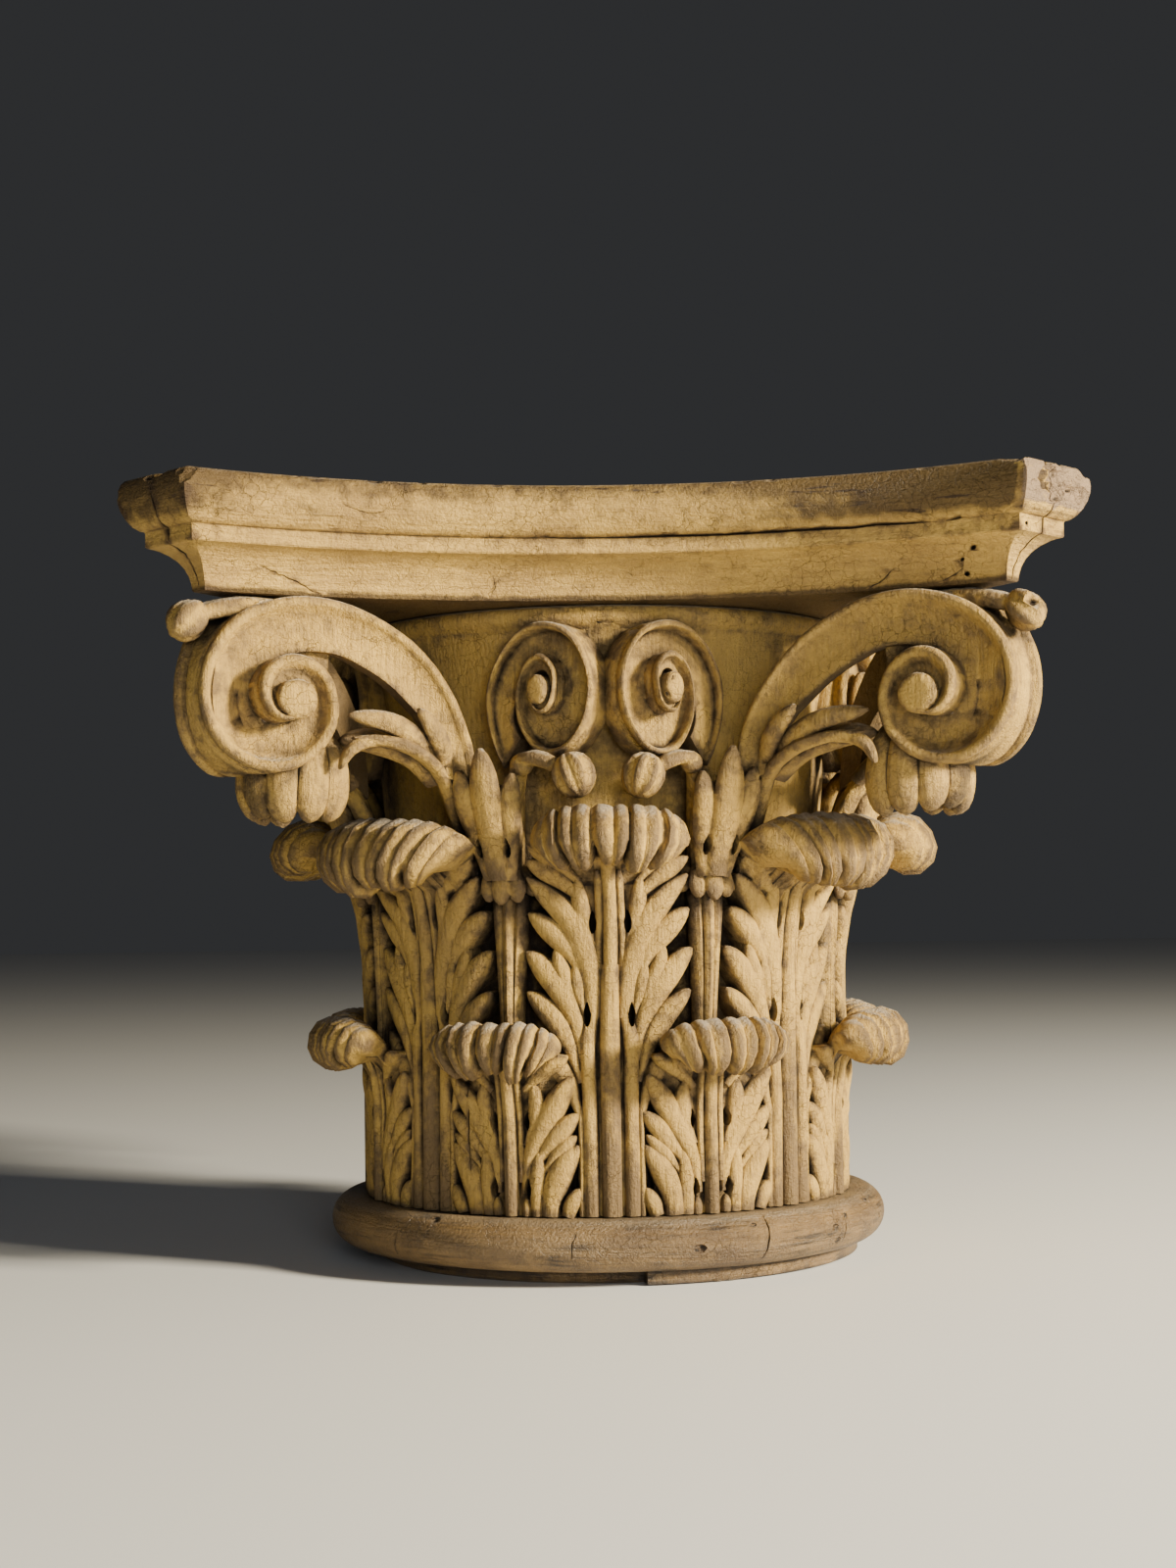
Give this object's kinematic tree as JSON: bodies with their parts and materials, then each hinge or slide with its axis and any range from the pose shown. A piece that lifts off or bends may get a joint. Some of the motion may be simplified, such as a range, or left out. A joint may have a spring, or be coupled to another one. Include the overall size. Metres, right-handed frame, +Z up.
{
  "type": "corinthian capital",
  "caption": "Small painted wooden Corinthian capital with acanthus leaves, corner volutes, inner helices, a moulded hollow-sided abacus and a round base ring.",
  "frame": {"origin": "centre of the underside of the base ring", "axes": "+Z up, the front face looks along -Y, +X to the right of the front"},
  "size_m": [0.26, 0.26, 0.22],
  "materials": {
    "base_ring_paint": "old dark ochre paint, worn and dirty",
    "carved_bell_paint": "old ivory paint, fine cracks, brown dirt on the edges",
    "abacus_paint": "old ivory paint, chipped corners, stained edges"
  },
  "bodies": {
    "root": {"base_ring": "base_ring_paint", "carved_bell": "carved_bell_paint", "abacus": "abacus_paint"}
  },
  "joints": []
}
